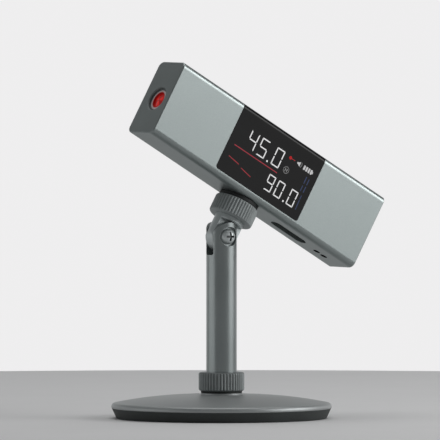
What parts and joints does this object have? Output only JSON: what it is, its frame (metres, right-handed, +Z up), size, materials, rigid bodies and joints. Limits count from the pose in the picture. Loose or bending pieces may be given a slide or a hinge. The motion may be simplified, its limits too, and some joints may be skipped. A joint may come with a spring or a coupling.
{
  "type": "laser spirit level on a stand",
  "caption": "Pocket digital laser level with a dark display window and an end laser lens, held by a forked tilting head with knurled lock rings on a post and a round weighted base.",
  "frame": {"origin": "centre of the underside of the round base, on the surface it stands on", "axes": "+Z up along the post, the tilt head turns about Y, the display looks along -Y and the laser end is towards -X"},
  "size_m": [0.1111, 0.0835, 0.1352],
  "materials": {
    "anodised_grey": "satin, bead-blasted",
    "base_paint": "fine satin coat",
    "black_rubber": "matt",
    "foam": "closed cell",
    "steel": "bright",
    "brass": "turned",
    "barrel_metal": "turned",
    "window": "gloss, tinted",
    "red_glass": "polished",
    "clear_glass": "polished",
    "display_glass": "gloss",
    "diffuser": "matt",
    "circuit_board": "solder mask",
    "chip_black": "matt",
    "frame_plastic": "moulded",
    "key_plastic": "moulded",
    "cell_foil": "foil",
    "wire_jacket": "smooth"
  },
  "bodies": {
    "base": {"base_dome": "base_paint", "base_weight": "steel", "base_screws": "steel", "base_bush": "brass", "base_foot": "black_rubber"},
    "column": {"column": "anodised_grey", "column_stud": "steel", "pivot_screw": "steel", "pivot_nut": "steel"},
    "lower_ring": {"lower_lock_ring": "anodised_grey", "lower_ring_washer": "black_rubber"},
    "head": {"tilt_head": "anodised_grey"},
    "upper_ring": {"upper_lock_ring": "anodised_grey", "upper_ring_washer": "black_rubber"},
    "level": {"level_sleeve": "anodised_grey", "left_end_cap": "anodised_grey", "right_end_cap": "anodised_grey", "display_lens": "window", "lens_gasket": "foam", "lcd_panel": "display_glass", "backlight": "diffuser", "display_pins": "steel", "inner_frame": "frame_plastic", "main_board": "circuit_board", "board_screws": "steel", "board_chips": "chip_black", "buzzer": "chip_black", "usb_shell": "steel", "usb_core": "chip_black", "battery": "cell_foil", "battery_lead": "wire_jacket", "key_switch": "chip_black", "laser_barrel": "barrel_metal", "line_lens": "red_glass", "collimating_lens": "clear_glass", "laser_diode": "steel", "laser_driver_board": "circuit_board", "laser_lead": "wire_jacket", "laser_clamp": "frame_plastic", "clamp_screws": "steel", "thread_insert": "brass", "lanyard_anchor": "frame_plastic"},
    "key": {"power_key": "key_plastic", "key_plunger": "key_plastic"}
  },
  "joints": [
    {"name": "column_swivel", "type": "hinge", "parent": "base", "child": "column", "pos_m": [0, 0, 0], "axis": [0, 0, 1], "continuous": true},
    {"name": "lower_ring_turn", "type": "hinge", "parent": "column", "child": "lower_ring", "pos_m": [0, 0, 0], "axis": [0, 0, 1], "continuous": true},
    {"name": "head_tilt", "type": "hinge", "parent": "column", "child": "head", "pos_m": [0, 0, 0.069], "axis": [0, 1, 0], "range_deg": [-120, 60]},
    {"name": "upper_ring_turn", "type": "hinge", "parent": "head", "child": "upper_ring", "pos_m": [0, 0, 0.069], "axis": [0.5, 0, 0.866], "continuous": true},
    {"name": "level_swivel", "type": "hinge", "parent": "head", "child": "level", "pos_m": [0, 0, 0.069], "axis": [0.5, 0, 0.866], "continuous": true},
    {"name": "key_press", "type": "slide", "parent": "level", "child": "key", "axis": [-0.5, 0, -0.866], "range_m": [0, 0.0004], "stiffness_N_per_m": 800, "springref_m": -0.0005}
  ]
}
